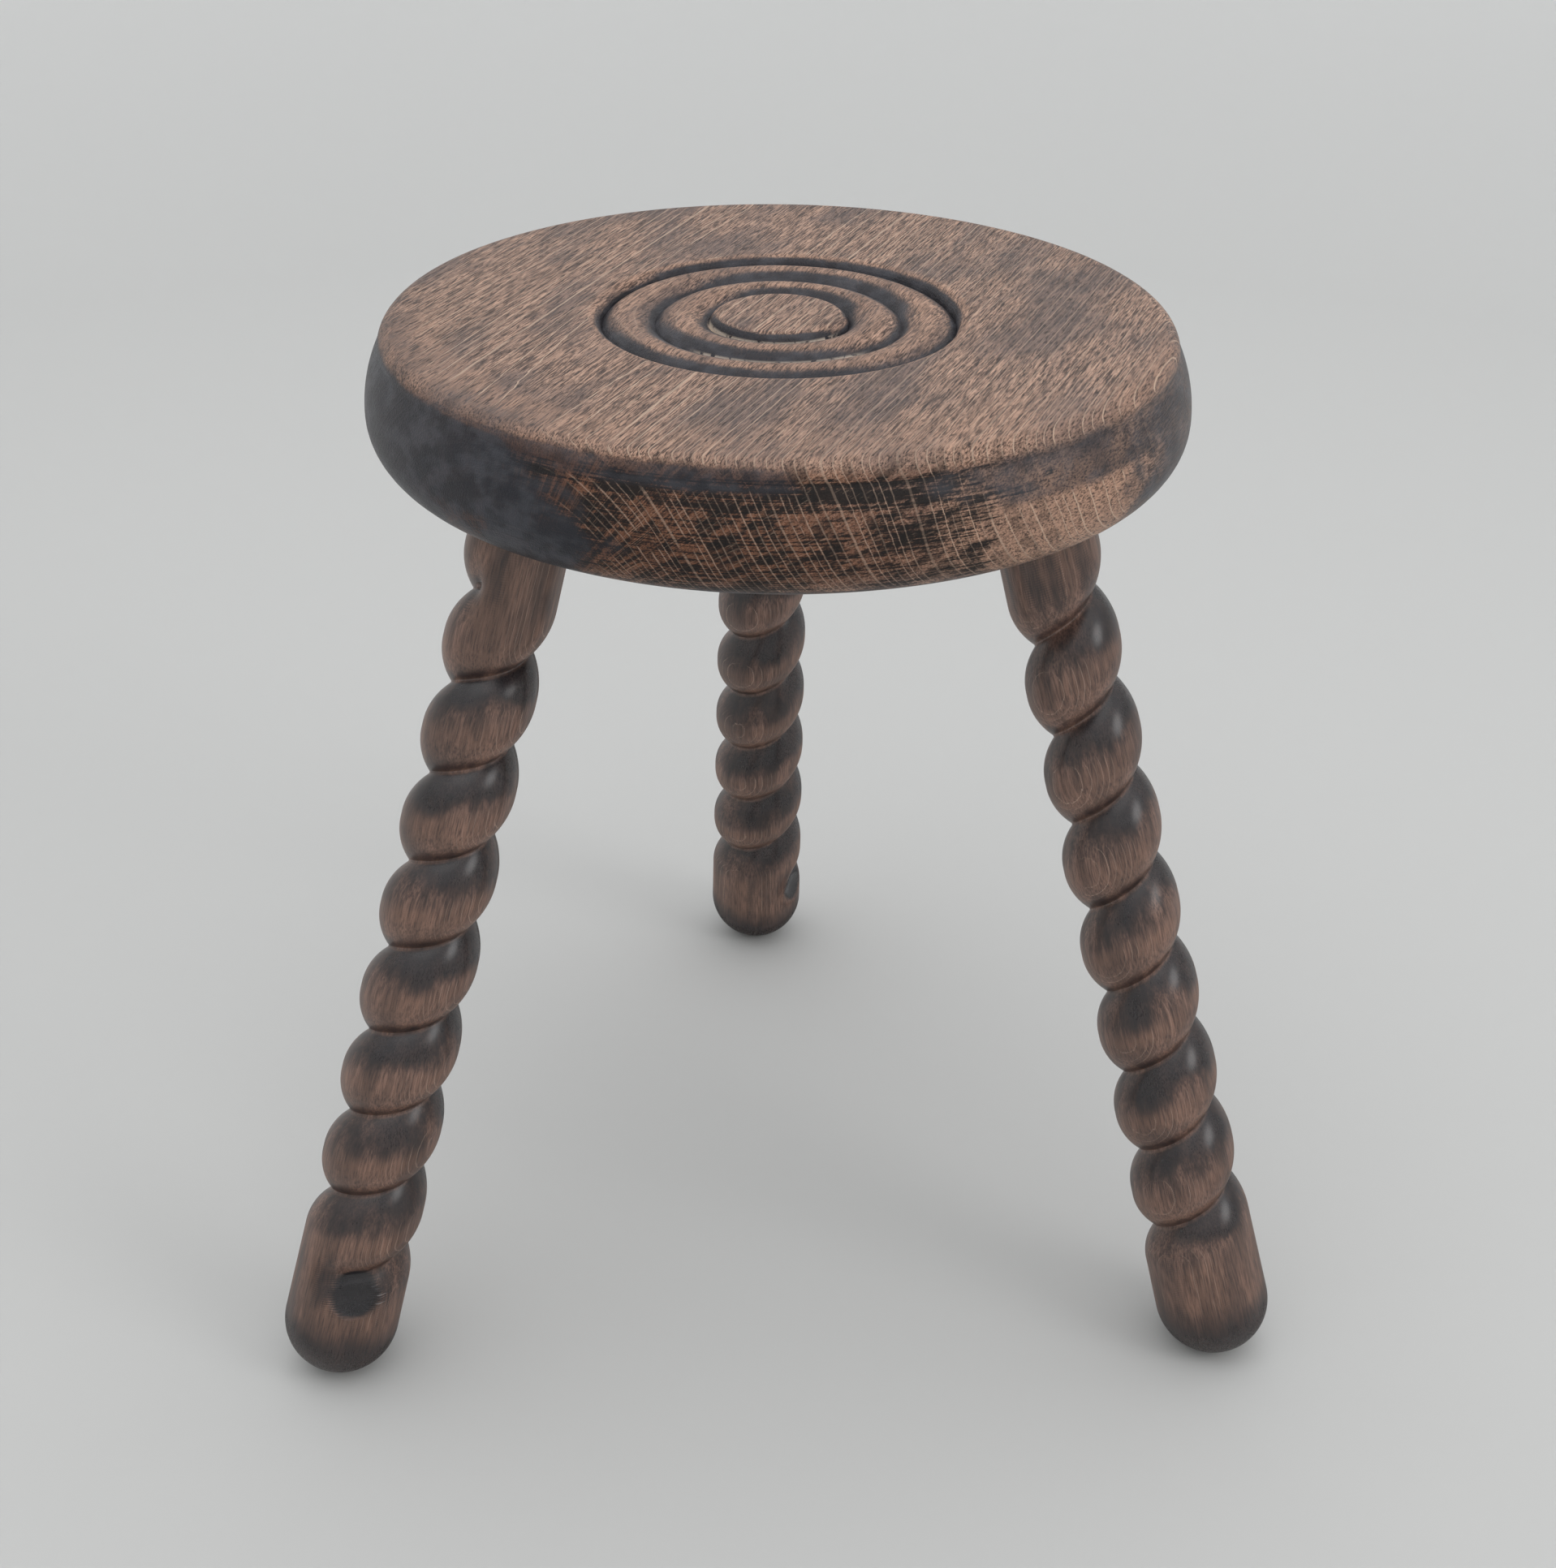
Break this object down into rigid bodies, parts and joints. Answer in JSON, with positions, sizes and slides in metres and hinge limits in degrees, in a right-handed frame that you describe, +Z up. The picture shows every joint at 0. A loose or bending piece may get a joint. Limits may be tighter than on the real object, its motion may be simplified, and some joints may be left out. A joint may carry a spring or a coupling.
{
  "type": "tripod stool",
  "caption": "Low round wooden stool with a turned, bead-moulded seat on splayed barley-twist legs, for sitting close to the floor or standing things on.",
  "frame": {"origin": "on the floor plane, straight below the middle of the round seat", "axes": "+Z up, along the seat's turning axis; +Y towards the rear leg; the two front legs stand towards -Y, left at -X and right at +X"},
  "size_m": [0.3471, 0.3274, 0.352],
  "materials": {
    "seat_wood": "dark stained beech, worn satin wax",
    "leg_wood": "dark stained beech, satin wax"
  },
  "bodies": {
    "root": {"seat": "seat_wood", "front_left_leg": "leg_wood", "front_right_leg": "leg_wood", "rear_leg": "leg_wood"}
  },
  "joints": []
}
